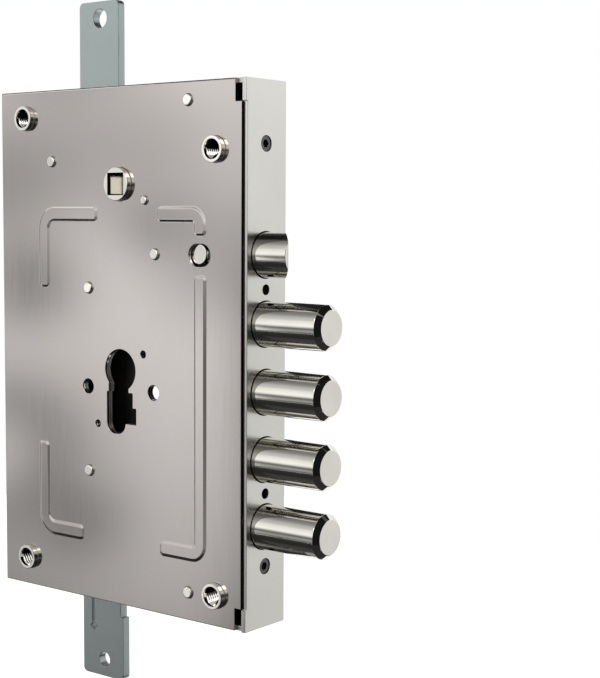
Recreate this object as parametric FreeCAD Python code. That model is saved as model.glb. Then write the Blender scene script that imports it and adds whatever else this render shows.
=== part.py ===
import FreeCAD, Part
import math
import os

# Rim lock with four round deadbolts, a round latch and two vertical rods, in millimetres.
# X points out of the forend, Y runs from the cover to the back plate, Z is up.
# The origin lies on the forend face, mid depth, level with the handle follower.

# Case
case_length = 141.1
case_depth = 24.6
case_height = 217.5
case_top = 40.3
sheet = 2.0
cover_sheet = 1.5
forend_sheet = 2.0
bend_radius = 2.0
cover_gap = 0.3
notch_width = 3.2
notch_height = 9.0
forend_setback = 0.8
hole_clearance = 0.1
seat_clearance = 0.05
face_clearance = 0.3
cut_margin = 1.0

# Raised bands on the cover
band_width = 6.2
band_height = 0.4
band_left_inset = 24.1
band_low_left_inset = 23.2
band_right = -20.6
band_top = -9.2
band_bottom_rise = 24.8
band_top_left_end = -81.4
band_top_left_foot = -44.0
band_top_right_start = -46.8
band_top_right_foot = -20.8
band_right_top = -36.6
band_right_end = -45.7
band_low_left_top = -111.7
band_low_left_end = -90.5
band_left_bend = 3.3
band_right_bend = 1.2
band_end_bend = 2.0

# Handle follower
backset = 68.3
hub_radius = 6.9
hub_proud = 2.4
hub_body_radius = 11.0
hub_body_half = 5.0
spindle_square = 9.2
follower_angle = 40.0
follower_arm_radius = 4.0
follower_arm_front = 1.0
follower_lash = 0.6
edge_chamfer = 0.5
fitting_chamfer = 0.2

# Cylinder opening
cylinder_drop = 77.4
lobe_radius = 8.7
neck_left = 6.6
neck_right = 4.6
foot_left = 7.7
foot_step_one = 7.0
foot_step_two = 9.0
neck_foot_drop = 9.4
foot_step_drop = 15.7
foot_base_drop = 22.4
foot_bottom_drop = 26.9
foot_bottom_radius = 4.5
foot_lean = 1.5
fixing_spacing = 38.0
fixing_drop = 8.1
fixing_radius = 3.1
dowel_radius = 1.5
dowel_offset = 13.25
dowel_height = 15.5
armour_sheet = 1.5
armour_margin = 8.5
armour_height = 46.0
armour_top_drop = 62.0

# Deadbolts
bolt_count = 4
bolt_radius = 9.0
bolt_pitch = 27.0
bolt_drop = 55.4
bolt_throw = 32.4
bolt_stroke = 30.0
bolt_tail = 27.5
bolt_chamfer = 2.1
bolt_clearance = 0.1
forend_hole_clearance = 0.35
tongue_length = 11.7
tongue_clearance = 0.15
bolt_pin_radius = 2.5
bolt_pin_inset = 6.0
pin_end_inset = 0.4

# Bolt carriage
carriage_sheet = 3.0
carriage_left = -106.0
carriage_top_drop = 37.6
carriage_front_bar = 1.0
carriage_rear_bar = 14.0
carriage_window_top = 66.0
carriage_window_bottom = 106.0
carriage_foot_drop = 138.5
carriage_bar_top = 49.0
carriage_bar_bottom = 143.0
cam_notch_width = 10.0
cam_notch_depth = 4.5
stump_radius = 3.0
stump_offset = 0.3
stump_drop = 55.5
stump_end = 0.5

# Rods
rod_stroke = 20.0
rod_sheet = 4.0
rod_front = 2.0
rod_left = -106.1
rod_width = 23.3
rod_reach_up = 37.9
rod_reach_down = 39.4
rod_corner = 2.3
rod_neck_step = 1.4
rod_neck_end = 28.0
upper_rod_hole_x = -93.7
upper_rod_hole_inset = 7.2
upper_rod_hole_radius = 4.0
lower_rod_hole_x = -93.0
lower_rod_hole_inset = 7.6
lower_rod_hole_radius = 3.2
rod_slit_x = -99.5
rod_slit_width = 2.2
rod_slit_end_drop = 17.8
rod_slit_length = 40.0
rod_slit_eye = 2.2
drive_pin_radius = 3.0
drive_pin_x = -84.5
upper_drive_pin_drop = 56.0
lower_drive_pin_drop = 131.5
rod_wall = 4.0
rod_rest_height = 20.0
rod_rest_inset = 3.0
upper_rest_inset = 10.3
lower_rest_rise = 5.2

# Latch
latch_radius = 9.0
latch_drop = 28.1
latch_tip = 16.6
latch_stroke = 15.2
latch_bevel_run = 7.0
latch_tail = 30.2
latch_tongue = 12.7
latch_screw_radius = 3.6
latch_screw_x = -26.0
screw_head_clearance = 0.3
latch_bar_left = -80.0
latch_bar_half = 6.0
latch_lug_top = -13.0
latch_bar_recess = 12.5
latch_bar_waist = 4.0
window_x = -24.1
window_drop = 28.6
window_width = 11.5
window_radius = 4.5

# Locking lever
lever_pivot_inset = 13.1
lever_pivot_drop = 30.0
lever_drop_angle = 5.0
lever_sheet = 2.5
lever_gap = 1.5
lever_boss_radius = 8.0
lever_arm_radius = 6.0
lever_post_radius = 3.0
lever_wall = 3.0
lever_head_wall = 2.5
lever_heel_wall = 2.0
lever_arm_rise = 8.0
gate_clearance = 0.3

# Springs and their seats
latch_spring_radius = 2.3
latch_spring_wire = 0.6
latch_spring_turns = 11
latch_spring_end = -107.0
latch_spring_y = -1.0
lever_spring_radius = 1.5
lever_spring_wire = 0.4
lever_spring_turns = 6
lever_spring_x = -96.0
lever_spring_top = -37.0
hub_spring_radius = 8.7
hub_spring_wire = 0.9
hub_spring_turns = 2.5
bracket_sheet = 2.0
bracket_half = 5.0

# Bushes, rivets, posts and screws
bush_radius = 5.2
bush_bore = 3.4
bush_proud = 2.4
bush_left_inset = 16.3
bush_right = -15.7
bush_top_left_inset = 11.6
bush_top_right_inset = 27.2
bush_low_rise = 12.6
rivet_radius = 2.4
rivet_proud = 1.0
rivet_dome = 0.6
post_radius = 3.0
slim_post_radius = 2.3
small_rivet_radius = 1.8
stud_end = 0.1
stud_left_x = -86.7
upper_stud_drop = 43.5
lower_stud_drop = 121.6
latch_post_x = -48.2
latch_post_drop = 28.6
rod_post_x = -108.8
rod_post_z = 9.9
stop_post_x = -53.9
stop_post_drop = 6.7
spacer_x = -30.1
upper_spacer_inset = 7.5
lower_spacer_rise = 11.6
screw_head_radius = 3.1
screw_head_length = 2.2
screw_head_inset = 0.4
screw_shank_radius = 1.9
screw_length = 8.6
screw_socket = 3.0
screw_socket_depth = 1.4
upper_screw_inset = 24.9
lower_screw_rise = 24.7
thread_hole_radius = 2.1
upper_thread_z = -41.8
lower_thread_z = -123.1
block_length = 7.5
block_half = 6.0
guide_sheet = 3.0
guide_front = -14.0
guide_margin = 1.6

# Places worked out from the sizes above
front = -case_depth / 2
back = case_depth / 2
rear = -case_length
case_bottom = case_top - case_height
lever_pivot_x = rear + lever_pivot_inset
bush_left = rear + bush_left_inset
bush_top_left = case_top - bush_top_left_inset
bush_top_right = case_top - bush_top_right_inset
bush_low = case_bottom + bush_low_rise
upper_spacer_z = case_top - upper_spacer_inset
lower_spacer_z = case_bottom + lower_spacer_rise
upper_screw_z = case_top - upper_screw_inset
lower_screw_z = case_bottom + lower_screw_rise
band_left = rear + band_left_inset
band_low_left = rear + band_low_left_inset
band_bottom = case_bottom + band_bottom_rise
rod_top = case_top + rod_reach_up
rod_bottom = case_bottom - rod_reach_down
upper_rod_hole_z = rod_top - upper_rod_hole_inset
lower_rod_hole_z = rod_bottom + lower_rod_hole_inset
rod_slit_end = case_bottom - rod_slit_end_drop
lower_rest_bottom = case_bottom + lower_rest_rise
upper_rest_bottom = case_top - upper_rest_inset - rod_rest_height
inner_front = front + cover_sheet
inner_back = back - sheet
cover_right = -forend_sheet - cover_gap
axis_x = -backset
cylinder_z = -cylinder_drop
latch_z = -latch_drop
carriage_half = carriage_sheet / 2
bolt_rear = -bolt_tail
carriage_right = bolt_rear + tongue_length
bolt_heights = [-bolt_drop - i * bolt_pitch for i in range(bolt_count)]
bolt_pin_x = bolt_rear + bolt_pin_inset
rod_back = rod_front + rod_sheet
rod_right = rod_left + rod_width
stump_x = axis_x + stump_offset
lever_back = -carriage_half - lever_gap
lever_front = lever_back - lever_sheet
arm_reach = latch_stroke / math.sin(math.radians(follower_angle))
lug_face = axis_x - follower_arm_radius - follower_lash
armour_back = inner_front + armour_sheet
stud_back = carriage_half + stud_end

UP_Y = FreeCAD.Vector(0, 1, 0)
UP_X = FreeCAD.Vector(1, 0, 0)
UP_Z = FreeCAD.Vector(0, 0, 1)
os.makedirs("parts", exist_ok=True)


def block(x0, x1, y0, y1, z0, z1):
    corner = FreeCAD.Vector(x0, y0, z0)
    return Part.makeBox(x1 - x0, y1 - y0, z1 - z0, corner)


def pin_y(x, z, radius, y0, y1):
    return Part.makeCylinder(radius, y1 - y0, FreeCAD.Vector(x, y0, z), UP_Y)


def pin_x(y, z, radius, x0, x1):
    return Part.makeCylinder(radius, x1 - x0, FreeCAD.Vector(x0, y, z), UP_X)


def prism_y(outline, y0, y1):
    points = [FreeCAD.Vector(x, y0, z) for x, z in outline]
    face = Part.Face(Part.makePolygon(points + points[:1]))
    return face.extrude(FreeCAD.Vector(0, y1 - y0, 0))


def stadium_y(start, end, radius, y0, y1):
    """A flat bar or slot with round ends between two points of the X-Z plane."""
    run = (end[0] - start[0], end[1] - start[1])
    length = math.hypot(*run)
    side = (-run[1] / length * radius, run[0] / length * radius)
    outline = [
        (start[0] + side[0], start[1] + side[1]),
        (end[0] + side[0], end[1] + side[1]),
        (end[0] - side[0], end[1] - side[1]),
        (start[0] - side[0], start[1] - side[1]),
    ]
    bar = prism_y(outline, y0, y1)
    return bar.fuse([pin_y(*start, radius, y0, y1), pin_y(*end, radius, y0, y1)]).removeSplitter()


def fillet_where(shape, radius, wanted):
    edges = [e for e in shape.Edges if wanted(e)]
    return shape.makeFillet(radius, edges)


def chamfer_where(shape, size, wanted):
    edges = [e for e in shape.Edges if wanted(e)]
    return shape.makeChamfer(size, edges)


def all_at(edge, axis, value):
    return all(abs(getattr(v.Point, axis) - value) < 0.001 for v in edge.Vertexes)


def coil(radius, wire_radius, turns, length, place, direction):
    """A wound spring as one unbroken tube."""
    pitch = length / turns
    helix = Part.makeHelix(pitch, length, radius)
    path = Part.Wire(helix.Edges)
    slope = FreeCAD.Vector(0, math.tau * radius, pitch)
    ring = Part.makeCircle(wire_radius, FreeCAD.Vector(radius, 0, 0), slope)
    tube = path.makePipeShell([Part.Wire(ring)], True, True)
    turn = FreeCAD.Rotation(FreeCAD.Vector(0, 0, 1), direction)
    tube.Placement = FreeCAD.Placement(place, turn)
    return tube


def save(node, solids):
    flat = [s for shape in solids for s in shape.Solids]
    shape = flat[0] if len(flat) == 1 else Part.makeCompound(flat)
    shape.exportStep(os.path.join("parts", node + ".step"))
    print(node, len(flat), "solids", round(shape.Volume, 1), "mm3", "valid", shape.isValid())


# Holes that several pieces share

def cylinder_profile(y0, y1, clearance=0.0):
    """The opening for a profile cylinder: a round lobe, a neck and a stepped foot."""
    lobe = pin_y(axis_x, cylinder_z, lobe_radius + clearance, y0, y1)
    left = axis_x - foot_left - clearance
    base = cylinder_z - foot_base_drop
    low = cylinder_z - foot_bottom_drop - clearance
    neck = block(axis_x - neck_left, axis_x + neck_right, y0, y1, base, cylinder_z)
    step_one = block(left, axis_x + foot_step_one, y0, y1, base, cylinder_z - neck_foot_drop)
    step_two_top = cylinder_z - foot_step_drop
    step_two = block(left, axis_x + foot_step_two, y0, y1, base, step_two_top)
    bottom_x = left + foot_bottom_radius
    inner_x = bottom_x + foot_lean
    bottom = stadium_y((bottom_x, base), (inner_x, low + foot_bottom_radius), foot_bottom_radius, y0, y1)
    return lobe.fuse([neck, step_one, step_two, bottom]).removeSplitter()


def armour_holes(y0, y1):
    half = fixing_spacing / 2
    height = cylinder_z - fixing_drop
    holes = [pin_y(axis_x + side * half, height, fixing_radius, y0, y1) for side in (-1, 1)]
    for side in (-1, 1):
        x = axis_x + side * dowel_offset
        z = height + side * dowel_height
        holes.append(pin_y(x, z, dowel_radius, y0, y1))
    return holes


def bush_places():
    return {
        "bush_top_left": (bush_left, bush_top_left),
        "bush_top_right": (bush_right, bush_top_right),
        "bush_bottom_left": (bush_left, bush_low),
        "bush_bottom_right": (bush_right, bush_low),
    }


def through_posts():
    """Posts riveted in both plates: place, rivet radius and body radius."""
    return {
        "rod_post": (rod_post_x, rod_post_z, slim_post_radius, slim_post_radius),
        "latch_post": (latch_post_x, -latch_post_drop, slim_post_radius, rivet_radius),
        "stop_post": (stop_post_x, -stop_post_drop, small_rivet_radius, slim_post_radius),
        "upper_spacer_post": (spacer_x, upper_spacer_z, rivet_radius, post_radius),
        "lower_spacer_post": (spacer_x, lower_spacer_z, rivet_radius, post_radius),
    }


def stud_places():
    return [(stud_left_x, -upper_stud_drop), (stud_left_x, -lower_stud_drop)]


def plate_holes(y0, y1):
    """The holes that the cover and the back plate share."""
    holes = [cylinder_profile(y0, y1), pin_y(axis_x, 0, hub_radius + hole_clearance, y0, y1)]
    for x, z in bush_places().values():
        holes.append(pin_y(x, z, bush_radius + seat_clearance, y0, y1))
    for x, z, radius, body in through_posts().values():
        holes.append(pin_y(x, z, radius + seat_clearance, y0, y1))
    return holes


# Case pieces

def case_tray():
    outer = block(rear, -forend_sheet, inner_front, back, case_bottom, case_top)
    outer = fillet_where(
        outer,
        bend_radius,
        lambda e: all_at(e, "y", back) and not all_at(e, "x", -forend_sheet),
    )
    room = block(
        rear + sheet, 0, inner_front, inner_back, case_bottom + sheet, case_top - sheet
    )
    side = face_clearance
    slot_y = (rod_front - side, rod_back + side)
    top_slot = block(rod_left - side, rod_right + side, *slot_y, case_top - sheet, case_top)
    low_right = rod_right + rod_neck_step + side
    low_slot = block(rod_left - side, low_right, *slot_y, case_bottom, case_bottom + sheet)
    holes = plate_holes(inner_back, back)
    radius = rivet_radius + seat_clearance
    holes.append(pin_y(lever_pivot_x, -lever_pivot_drop, radius, inner_back, back))
    return outer.cut([room, top_slot, low_slot] + holes)


def band_corner(x, z, outer, turn_x, turn_z):
    """A quarter ring of the raised band, whose centre lies at x, z."""
    y0 = front - band_height
    ring = pin_y(x, z, outer, y0, front)
    inner = outer - band_width
    if inner > 0:
        ring = ring.cut(pin_y(x, z, inner, y0, front))
    x0, x1 = sorted((x, x + turn_x * outer))
    z0, z1 = sorted((z, z + turn_z * outer))
    return ring.common(block(x0, x1, y0, front, z0, z1))


def along_y(edge):
    ends = edge.Vertexes
    return abs(ends[0].Y - ends[-1].Y) > band_height / 2


def band_run(start, end):
    """A straight stretch of the band, whose corners are rounded at its start."""
    y0 = front - band_height
    half = band_width / 2
    low_x, high_x = sorted((start[0], end[0]))
    low_z, high_z = sorted((start[1], end[1]))
    if low_z == high_z:
        run = block(low_x, high_x, y0, front, low_z - half, low_z + half)
        return fillet_where(run, band_end_bend, lambda e: all_at(e, "x", start[0]) and along_y(e))
    run = block(low_x - half, low_x + half, y0, front, low_z, high_z)
    return fillet_where(run, band_end_bend, lambda e: all_at(e, "z", start[1]) and along_y(e))


def cover_bands():
    half = band_width / 2
    wide = band_width + band_left_bend
    tight = band_width + band_right_bend
    left = band_left + half
    low_left = band_low_left + half
    right = band_right - half
    top = band_top - half
    bottom = band_bottom + half
    return [
        band_run((band_top_left_end, top), (band_left + wide, top)),
        band_run((left, band_top_left_foot), (left, band_top - wide)),
        band_corner(band_left + wide, band_top - wide, wide, -1, 1),
        band_run((band_top_right_start, top), (band_right - tight, top)),
        band_run((right, band_top_right_foot), (right, band_top - tight)),
        band_corner(band_right - tight, band_top - tight, tight, 1, 1),
        band_run((right, band_right_top), (right, band_bottom + tight)),
        band_run((band_right_end, bottom), (band_right - tight, bottom)),
        band_corner(band_right - tight, band_bottom + tight, tight, 1, -1),
        band_run((low_left, band_low_left_top), (low_left, band_bottom + wide)),
        band_run((band_low_left_end, bottom), (band_low_left + wide, bottom)),
        band_corner(band_low_left + wide, band_bottom + wide, wide, -1, -1),
    ]


def case_cover():
    plate = block(rear, cover_right, front, inner_front, case_bottom, case_top)
    plate = plate.fuse(cover_bands()).removeSplitter()
    deep = front - band_height
    cuts = plate_holes(deep, inner_front) + armour_holes(deep, inner_front)
    for z0, z1 in ((case_top - notch_height, case_top), (case_bottom, case_bottom + notch_height)):
        cuts.append(block(cover_right - notch_width, cover_right, deep, inner_front, z0, z1))
    for x, z in stud_places():
        cuts.append(pin_y(x, z, rivet_radius + seat_clearance, deep, inner_front))
    reach = window_width / 2 - window_radius
    window = stadium_y(
        (window_x - reach, -window_drop), (window_x + reach, -window_drop), window_radius, deep, inner_front
    )
    return plate.cut(cuts + [window])


def forend_plate():
    plate = block(-forend_sheet, 0, front, back, case_bottom, case_top)
    cuts = [pin_x(0, z, bolt_radius + forend_hole_clearance, -forend_sheet, 0) for z in bolt_heights]
    cuts.append(pin_x(0, latch_z, latch_radius + forend_hole_clearance, -forend_sheet, 0))
    for z in (upper_screw_z, lower_screw_z):
        cuts.append(pin_x(0, z, screw_head_radius + hole_clearance, -forend_sheet, 0))
    for z in (upper_thread_z, lower_thread_z):
        cuts.append(pin_x(0, z, thread_hole_radius, -forend_sheet, 0))
    low = case_bottom + notch_height
    high = case_top - notch_height
    cuts.append(block(-forend_sheet, 0, front, front + forend_setback, low, high))
    return plate.cut(cuts)


def forend_screw(z):
    head_face = -screw_head_inset
    head_base = head_face - screw_head_length
    head = pin_x(0, z, screw_head_radius, head_base, head_face)
    shank = pin_x(0, z, screw_shank_radius, head_face - screw_length, head_base)
    flat = screw_socket / math.sqrt(3)
    points = []
    for i in range(6):
        angle = math.radians(60 * i)
        points.append(FreeCAD.Vector(head_face, flat * math.cos(angle), z + flat * math.sin(angle)))
    socket = Part.Face(Part.makePolygon(points + points[:1]))
    socket = socket.extrude(FreeCAD.Vector(-screw_socket_depth, 0, 0))
    return head.fuse(shank).cut(socket)


def forend_block(z):
    rear_x = -forend_sheet - block_length
    body = block(rear_x, -forend_sheet, -block_half, inner_back, z - block_half, z + block_half)
    head_base = -screw_head_inset - screw_head_length
    sink = pin_x(0, z, screw_head_radius + hole_clearance, head_base, -forend_sheet)
    bore = pin_x(0, z, screw_shank_radius + seat_clearance, rear_x, head_base)
    return body.cut([sink, bore])


def bolt_guide():
    top = latch_z + latch_radius + guide_margin
    bottom = bolt_heights[-1] - bolt_radius - guide_margin
    x1 = guide_front + guide_sheet
    plate = block(guide_front, x1, inner_front + face_clearance, inner_back, bottom, top)
    heights = [(z, bolt_radius) for z in bolt_heights] + [(latch_z, latch_radius)]
    return plate.cut([pin_x(0, z, r + bolt_clearance, guide_front, x1) for z, r in heights])


def armour_plate():
    half = fixing_spacing / 2 + armour_margin
    top = -armour_top_drop
    plate = block(axis_x - half, axis_x + half, inner_front, armour_back, top - armour_height, top)
    return plate.cut([cylinder_profile(inner_front, armour_back)] + armour_holes(inner_front, armour_back))


def bush(x, z):
    y0 = front - bush_proud
    body = pin_y(x, z, bush_radius, y0, back).cut(pin_y(x, z, bush_bore, y0, back))
    return chamfer_where(body, fitting_chamfer, lambda e: all_at(e, "y", y0))


def through_post(x, z, rivet, body):
    y0 = front - rivet_proud
    shape = pin_y(x, z, rivet, y0, back)
    if body > rivet:
        shape = shape.fuse(pin_y(x, z, body, inner_front, inner_back))
    return fillet_where(shape, rivet_dome, lambda e: all_at(e, "y", y0))


def carriage_stud(x, z):
    y0 = front - rivet_proud
    shape = pin_y(x, z, rivet_radius, y0, inner_front)
    shape = shape.fuse(pin_y(x, z, post_radius, inner_front, stud_back))
    return fillet_where(shape, rivet_dome, lambda e: all_at(e, "y", y0))


def lever_post():
    x = lever_pivot_x
    z = -lever_pivot_drop
    body = pin_y(x, z, lever_post_radius, lever_front - stump_end, inner_back)
    return body.fuse(pin_y(x, z, rivet_radius, inner_back, back))


def rod_rest(bottom):
    x0 = rod_left + rod_rest_inset
    x1 = rod_right - rod_rest_inset
    return block(x0, x1, rod_back + face_clearance, inner_back, bottom, bottom + rod_rest_height)


def latch_spring_bracket():
    x0 = latch_spring_end - bracket_sheet
    y1 = rod_front - face_clearance
    z0 = latch_z - bracket_half
    z1 = latch_z + bracket_half
    foot = block(x0 - bracket_half, x0, inner_front, inner_front + bracket_sheet, z0, z1)
    wall = block(x0, latch_spring_end, inner_front, y1, z0, z1)
    return foot.fuse(wall).removeSplitter()


def lever_spring_bracket():
    x0 = lever_spring_x - bracket_half
    x1 = lever_spring_x + bracket_half
    z0 = lever_spring_top
    z1 = z0 + bracket_sheet
    shelf = block(x0, x1, inner_front, lever_back, z0, z1)
    foot = block(x0, x1, inner_front, inner_front + bracket_sheet, z1, z1 + bracket_half)
    return shelf.fuse(foot).removeSplitter()


# Bolts and their carriage

def deadbolt(z):
    shank_end = bolt_throw - bolt_chamfer
    shank = pin_x(0, z, bolt_radius, bolt_rear, shank_end)
    nose = Part.makeCone(
        bolt_radius, bolt_radius - bolt_chamfer, bolt_chamfer, FreeCAD.Vector(shank_end, 0, z), UP_X
    )
    half = carriage_half + tongue_clearance
    slot_end = carriage_right + tongue_clearance
    slot = block(bolt_rear, slot_end, -half, half, z - bolt_radius, z + bolt_radius)
    hole = pin_y(bolt_pin_x, z, bolt_pin_radius + seat_clearance, -bolt_radius, bolt_radius)
    return shank.fuse(nose).cut([slot, hole])


def bolt_pin(z):
    reach = bolt_radius - pin_end_inset
    return pin_y(bolt_pin_x, z, bolt_pin_radius, -reach, reach)


def bolt_carriage():
    y0 = -carriage_half
    y1 = carriage_half
    joint_x = bolt_rear - carriage_front_bar
    upper = block(carriage_left, joint_x, y0, y1, -carriage_window_top, -carriage_top_drop)
    lower = block(carriage_left, joint_x, y0, y1, -carriage_foot_drop, -carriage_window_bottom)
    rear_x = carriage_left + carriage_rear_bar
    spine = block(carriage_left, rear_x, y0, y1, -carriage_window_bottom, -carriage_window_top)
    bar = block(joint_x, carriage_right, y0, y1, -carriage_bar_bottom, -carriage_bar_top)
    plate = upper.fuse([lower, spine, bar]).removeSplitter()
    cuts = []
    for x, z in stud_places():
        radius = post_radius + bolt_clearance
        cuts.append(stadium_y((x, z), (x + bolt_stroke, z), radius, y0, y1))
    for turn in (1, 3):
        notch_x = axis_x + turn * bolt_stroke / 4
        half = cam_notch_width / 2
        top = -carriage_window_top + cam_notch_depth
        cuts.append(block(notch_x - half, notch_x + half, y0, y1, -carriage_window_top, top))
    for z in bolt_heights:
        cuts.append(pin_y(bolt_pin_x, z, bolt_pin_radius + seat_clearance, y0, y1))
    for drop in (upper_drive_pin_drop, lower_drive_pin_drop):
        cuts.append(pin_y(drive_pin_x, -drop, drive_pin_radius + seat_clearance, y0, y1))
    cuts.append(pin_y(stump_x, -stump_drop, stump_radius + seat_clearance, y0, y1))
    return plate.cut(cuts)


def drive_pin(drop):
    return pin_y(drive_pin_x, -drop, drive_pin_radius, -carriage_half, rod_back)


def stump_pin():
    return pin_y(stump_x, -stump_drop, stump_radius, lever_front - stump_end, carriage_half)


# Rods

def rod_foot(pin_drop, lift):
    """The wide inner end of a rod, and the slanted slot that the carriage's pin works in."""
    start = (drive_pin_x, -pin_drop)
    end = (drive_pin_x - bolt_stroke, -pin_drop + lift)
    radius = drive_pin_radius + bolt_clearance
    foot = stadium_y(start, end, radius + rod_wall, rod_front, rod_back)
    slot = stadium_y(start, end, radius, rod_front, rod_back)
    return foot, slot


def round_rod_end(shape, z, right):
    """Round the two outer corners of a rod's free end."""
    corners = [e for e in shape.Edges if all_at(e, "z", z)]
    corners = [e for e in corners if all_at(e, "x", rod_left) or all_at(e, "x", right)]
    return shape.makeFillet(rod_corner, corners)


def upper_rod():
    foot, slot = rod_foot(upper_drive_pin_drop, rod_stroke)
    low = -upper_drive_pin_drop + rod_stroke / 2
    shaft = block(rod_left, rod_right, rod_front, rod_back, low, rod_top)
    shaft = round_rod_end(shaft, rod_top, rod_right)
    hole = pin_y(upper_rod_hole_x, upper_rod_hole_z, upper_rod_hole_radius, rod_front, rod_back)
    return shaft.fuse(foot).removeSplitter().cut([slot, hole])


def lower_rod():
    foot, slot = rod_foot(lower_drive_pin_drop, -rod_stroke)
    high = -lower_drive_pin_drop - rod_stroke / 2
    step_z = rod_bottom + rod_neck_end
    wide_right = rod_right + rod_neck_step
    shaft = block(rod_left, rod_right, rod_front, rod_back, step_z, high)
    end = block(rod_left, wide_right, rod_front, rod_back, rod_bottom, step_z)
    end = round_rod_end(end, rod_bottom, wide_right)
    hole = pin_y(lower_rod_hole_x, lower_rod_hole_z, lower_rod_hole_radius, rod_front, rod_back)
    half = rod_slit_width / 2
    slit_top = rod_slit_end + rod_slit_length
    slit = block(rod_slit_x - half, rod_slit_x + half, rod_front, rod_back, rod_slit_end, slit_top)
    eye = [
        (rod_slit_x - rod_slit_eye, rod_slit_end),
        (rod_slit_x, rod_slit_end + rod_slit_eye),
        (rod_slit_x + rod_slit_eye, rod_slit_end),
        (rod_slit_x, rod_slit_end - rod_slit_eye),
    ]
    diamond = prism_y(eye, rod_front, rod_back)
    return shaft.fuse([end, foot]).removeSplitter().cut([slot, hole, slit, diamond])


# Latch and follower

def latch_bolt():
    body = pin_x(0, latch_z, latch_radius, -latch_tail, latch_tip)
    slope = latch_bevel_run / latch_radius
    middle = latch_tip - latch_bevel_run
    reach = latch_radius + cut_margin
    z0 = latch_z - reach
    far = latch_tip * 2
    outline = [
        FreeCAD.Vector(middle + slope * reach, -reach, z0),
        FreeCAD.Vector(far, -reach, z0),
        FreeCAD.Vector(far, reach, z0),
        FreeCAD.Vector(middle - slope * reach, reach, z0),
    ]
    bevel = Part.Face(Part.makePolygon(outline + outline[:1])).extrude(FreeCAD.Vector(0, 0, 2 * reach))
    half = carriage_half + tongue_clearance
    slot_end = -latch_tail + latch_tongue + tongue_clearance
    slot = block(-latch_tail, slot_end, -half, half, z0, latch_z + reach)
    hole = pin_y(latch_screw_x, latch_z, latch_screw_radius + seat_clearance, -latch_radius, latch_radius)
    return body.cut([bevel, slot, hole])


def latch_screw():
    y0 = inner_front + screw_head_clearance
    y1 = latch_radius - pin_end_inset
    screw = pin_y(latch_screw_x, latch_z, latch_screw_radius, y0, y1)
    return chamfer_where(screw, edge_chamfer, lambda e: all_at(e, "y", y0))


def latch_bar():
    y0 = -carriage_half
    y1 = carriage_half
    right = -latch_tail + latch_tongue
    low = latch_z - latch_bar_half
    bar = block(latch_bar_left, right, y0, y1, low, latch_z + latch_bar_half)
    lug = block(latch_bar_left, lug_face, y0, y1, low, latch_lug_top)
    recess = block(
        lug_face, lug_face + latch_bar_recess, y0, y1, low + latch_bar_waist, latch_z + latch_bar_half
    )
    radius = rivet_radius + bolt_clearance
    post = (latch_post_x, -latch_post_drop)
    slot = stadium_y(post, (latch_post_x + latch_stroke, -latch_post_drop), radius, y0, y1)
    hole = pin_y(latch_screw_x, latch_z, latch_screw_radius + seat_clearance, y0, y1)
    return bar.fuse(lug).removeSplitter().cut([recess, slot, hole])


def handle_follower():
    y0 = front - hub_proud
    hub = pin_y(axis_x, 0, hub_radius, y0, back)
    hub = chamfer_where(hub, fitting_chamfer, lambda e: all_at(e, "y", y0))
    body = pin_y(axis_x, 0, hub_body_radius, -hub_body_half, hub_body_half)
    arm_front = -carriage_half - follower_arm_front
    arm = stadium_y((axis_x, 0), (axis_x, -arm_reach), follower_arm_radius, arm_front, carriage_half)
    half = spindle_square / 2
    square = block(axis_x - half, axis_x + half, y0, back, -half, half)
    return hub.fuse([body, arm]).removeSplitter().cut(square)


# Locking lever

def lever_shift(dx, dz):
    """How far a point moves in the lever's own frame when the lever drops."""
    angle = math.radians(lever_drop_angle)
    x = dx * math.cos(angle) - dz * math.sin(angle)
    z = dx * math.sin(angle) + dz * math.cos(angle)
    return x - dx, z - dz


def locking_lever():
    y0 = lever_front
    y1 = lever_back
    pivot = (lever_pivot_x, -lever_pivot_drop)
    gate = stump_radius + gate_clearance
    thrown = (stump_x, -stump_drop)
    drawn = (stump_x - bolt_stroke, -stump_drop)
    pockets = []
    tops = []
    for place in (thrown, drawn):
        shift = lever_shift(place[0] - pivot[0], place[1] - pivot[1])
        pocket = (place[0] + shift[0], place[1] + shift[1])
        pockets.append(stadium_y(place, pocket, gate, y0, y1))
        tops.append(pocket)
    wall = gate + lever_wall
    low = -stump_drop - wall
    right = tops[0][0] + wall
    left = drawn[0] - wall
    ledge = (thrown[0] + drawn[0]) / 2 + wall
    head = block(ledge, right, y0, y1, low, tops[0][1] + gate + lever_head_wall)
    heel = block(left, ledge, y0, y1, low, tops[1][1] + gate + lever_heel_wall)
    arm = stadium_y(pivot, (left + lever_arm_radius / 2, low + lever_arm_rise), lever_arm_radius, y0, y1)
    boss = pin_y(*pivot, lever_boss_radius, y0, y1)
    shape = head.fuse([heel, arm, boss]).removeSplitter()
    path = stadium_y(drawn, thrown, gate, y0, y1)
    bore = pin_y(*pivot, lever_post_radius + seat_clearance, y0, y1)
    return shape.cut([path, bore] + pockets)


def lever_heel_top():
    shift = lever_shift(stump_x - bolt_stroke - lever_pivot_x, lever_pivot_drop - stump_drop)
    return -stump_drop + shift[1] + stump_radius + gate_clearance + lever_heel_wall


# Springs

def latch_spring():
    start = latch_spring_end + latch_spring_wire / 2
    length = latch_bar_left - latch_spring_wire / 2 - start
    place = FreeCAD.Vector(start, latch_spring_y, latch_z)
    return coil(latch_spring_radius, latch_spring_wire / 2, latch_spring_turns, length, place, UP_X)


def lever_spring():
    start = lever_heel_top() + lever_spring_wire / 2 + seat_clearance
    length = lever_spring_top - lever_spring_wire / 2 - seat_clearance - start
    place = FreeCAD.Vector(lever_spring_x, (lever_front + lever_back) / 2, start)
    return coil(lever_spring_radius, lever_spring_wire / 2, lever_spring_turns, length, place, UP_Z)


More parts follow.
